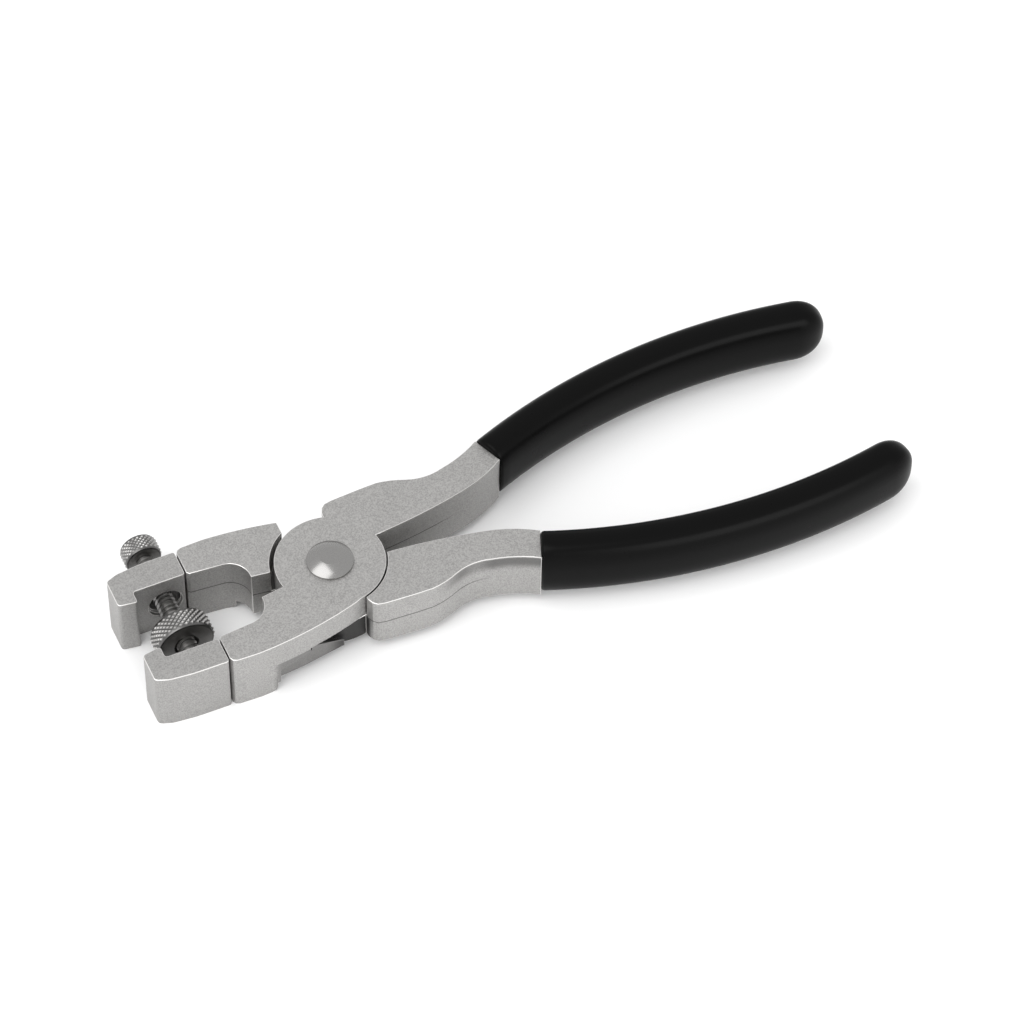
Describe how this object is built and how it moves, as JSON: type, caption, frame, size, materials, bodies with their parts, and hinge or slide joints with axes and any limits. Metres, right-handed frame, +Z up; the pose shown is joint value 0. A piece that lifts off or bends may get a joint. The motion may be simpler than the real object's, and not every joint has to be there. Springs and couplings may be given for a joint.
{
  "type": "saw setting pliers",
  "caption": "Small lap-jointed steel pliers with square-lipped jaw blocks, a knurled stop nut on a cross screw and dipped grips, used to bend saw teeth to an even set",
  "frame": {"origin": "on the table plane under the middle of the whole tool, with the pliers lying flat", "axes": "X along the tool from the jaws towards the grips, Y across it from the upper lever's jaw to the lower lever's jaw, Z up from the table"},
  "size_m": [0.1666, 0.0554, 0.0168],
  "materials": {
    "blasted_steel": "matt grey blasted steel with bright worn edges",
    "block_steel": "matt grey blasted steel with bright worn edges",
    "dowel_steel": "ground",
    "rivet_steel": "satin, a little brighter than the levers",
    "screw_steel": "dark, slightly oily thread",
    "knurled_steel": "diamond knurling with satin faces",
    "grip_vinyl": "black dipped vinyl, satin gloss"
  },
  "bodies": {
    "upper_half": {"upper_lever": "blasted_steel", "upper_jaw_block": "block_steel", "upper_jaw_dowels": "dowel_steel", "pivot_rivet": "rivet_steel", "upper_grip": "grip_vinyl"},
    "lower_half": {"lower_lever": "blasted_steel", "lower_jaw_block": "block_steel", "lower_jaw_dowels": "dowel_steel", "lower_grip": "grip_vinyl"},
    "screw": {"stop_screw": "screw_steel"},
    "head": {"thumb_head": "knurled_steel"},
    "nut": {"stop_nut": "knurled_steel"}
  },
  "joints": [
    {"name": "jaw_pivot", "type": "hinge", "parent": "upper_half", "child": "lower_half", "pos_m": [-0.03968, 0, 0.0087], "axis": [0, 0, -1], "range_deg": [-9.5, 5]},
    {"name": "nut_travel", "type": "slide", "parent": "upper_half", "child": "nut", "axis": [0, 1, 0], "range_m": [-0.0055, 0]},
    {"name": "screw_travel", "type": "slide", "parent": "upper_half", "child": "screw", "axis": [0, 1, 0], "range_m": [-0.0015, 0.0008]},
    {"name": "thumb_turn", "type": "hinge", "parent": "screw", "child": "head", "pos_m": [-0.07253, 0.0229, 0.0075], "axis": [0, 1, 0], "range_deg": [-540, 288]}
  ],
  "couplings": [
    {"joint": "thumb_turn", "follows": "screw_travel", "rad_per_m": 6283.2}
  ]
}
